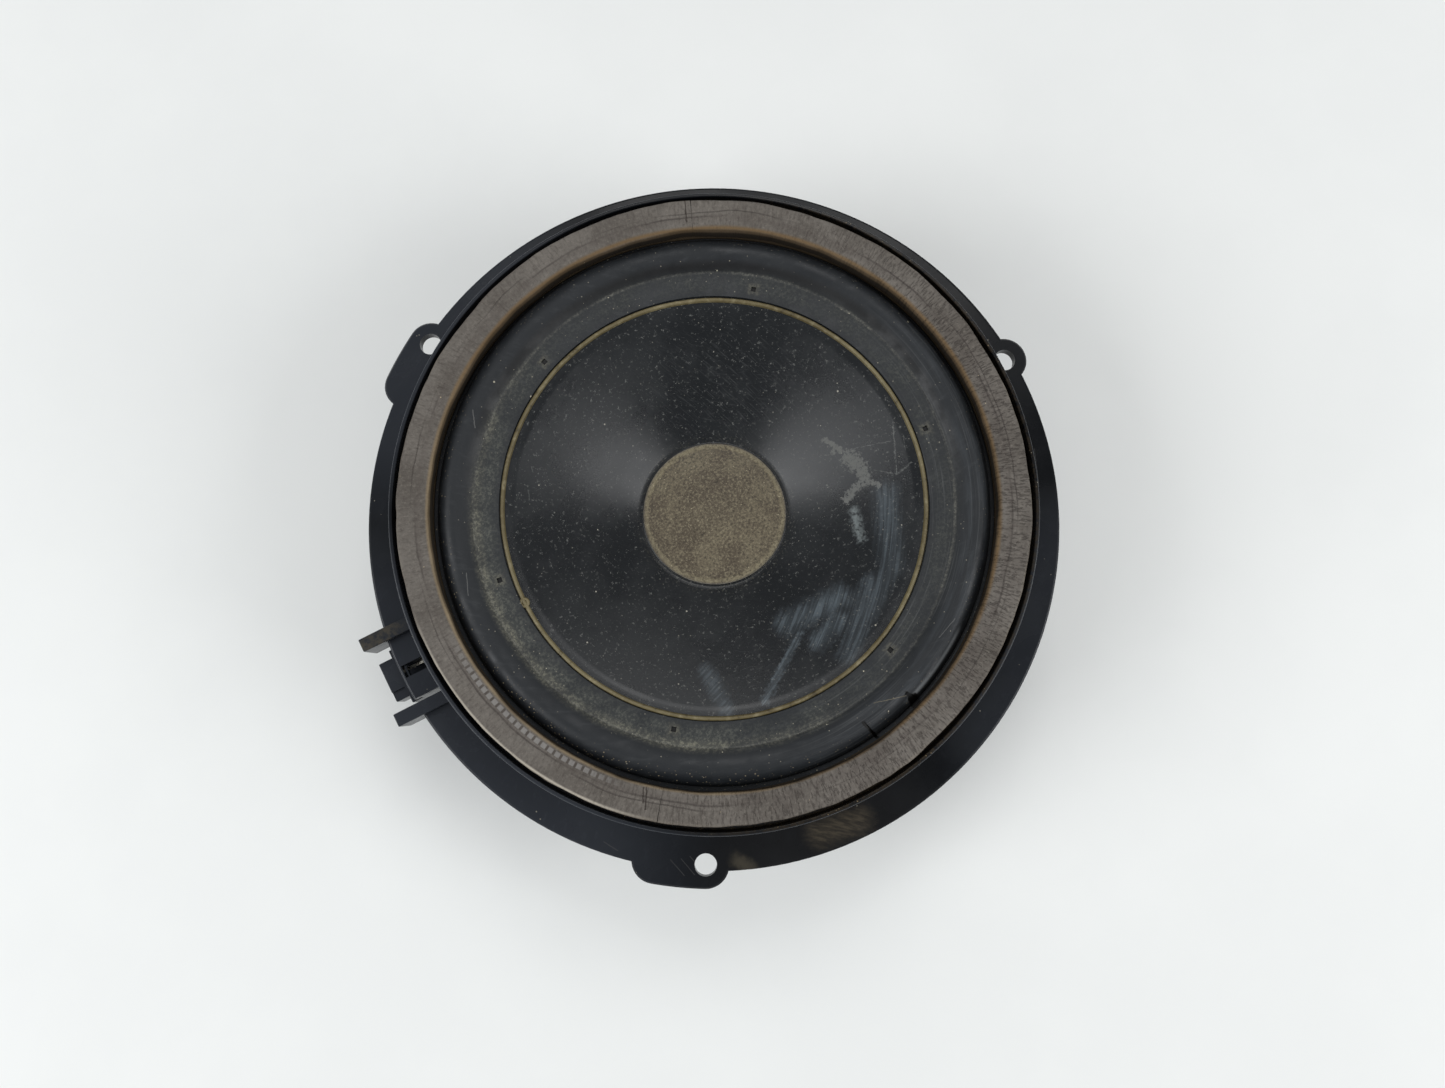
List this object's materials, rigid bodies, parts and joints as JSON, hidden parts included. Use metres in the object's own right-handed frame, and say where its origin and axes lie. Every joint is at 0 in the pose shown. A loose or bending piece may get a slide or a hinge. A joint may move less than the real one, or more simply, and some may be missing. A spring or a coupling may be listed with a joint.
{
  "type": "door woofer loudspeaker",
  "caption": "Round car door woofer: moulded basket with screw ears and side plug socket, ferrite motor, and a coil and cone that slide on a spider and rolled surround.",
  "frame": {"origin": "middle of the yoke's rear face, on the axis of the cone", "axes": "+Z along the axis towards the front of the cone; +X towards the round screw ear, opposite the plug socket; +Y completes the right-handed set"},
  "size_m": [0.1851, 0.176, 0.071],
  "materials": {
    "basket_plastic": "glass-filled black moulding, satin, dusty in its corners",
    "plated_steel": "zinc plated, slightly dull",
    "ferrite": "sintered dark grey ferrite with small edge chips",
    "former_paper": "varnished kraft paper",
    "copper_wire": "enamelled copper turns",
    "spider_cloth": "resin-dipped open-weave cloth, pressed in rings",
    "black_glue": "glossy black adhesive",
    "cone_polymer": "black moulded cone, satin, with fine curved wiping marks and a grey scuff",
    "cap_fabric": "fine woven khaki cloth, dusty, paler at the rim",
    "tan_glue": "hardened amber glue bead",
    "surround_rubber": "matt black rubber with dust settled in its corners",
    "gasket_board": "brown pressed board",
    "gasket_foam": "compressed grey-brown foam with fine radial wrinkles and pressed rings",
    "tinned_brass": "tin-plated contact blade",
    "solder": "dull solder",
    "tinsel_braid": "braided copper tinsel over a thread core"
  },
  "bodies": {
    "chassis": {"basket": "basket_plastic", "yoke": "plated_steel", "magnet": "ferrite", "top_plate": "plated_steel", "motor_rivet_1": "plated_steel", "motor_rivet_2": "plated_steel", "motor_rivet_3": "plated_steel", "spider": "spider_cloth", "surround": "surround_rubber", "gasket_board_ring": "gasket_board", "foam_gasket": "gasket_foam", "terminal_blade_positive": "tinned_brass", "terminal_blade_negative": "tinned_brass", "solder_joint_positive": "solder", "solder_joint_negative": "solder", "tinsel_lead_positive": "tinsel_braid", "tinsel_lead_negative": "tinsel_braid"},
    "diaphragm": {"cone": "cone_polymer", "dust_cap": "cap_fabric", "dust_cap_bead": "black_glue", "cone_edge_glue": "tan_glue", "voice_coil_former": "former_paper", "voice_coil_winding": "copper_wire", "neck_glue": "black_glue", "spider_glue": "black_glue", "lead_joint_positive": "black_glue", "lead_joint_negative": "black_glue"}
  },
  "joints": [
    {"name": "cone_travel", "type": "slide", "parent": "chassis", "child": "diaphragm", "axis": [0, 0, 1], "range_m": [-0.005, 0.005], "stiffness_N_per_m": 1800, "deforming": ["surround", "spider", "tinsel_lead_positive", "tinsel_lead_negative"]}
  ]
}
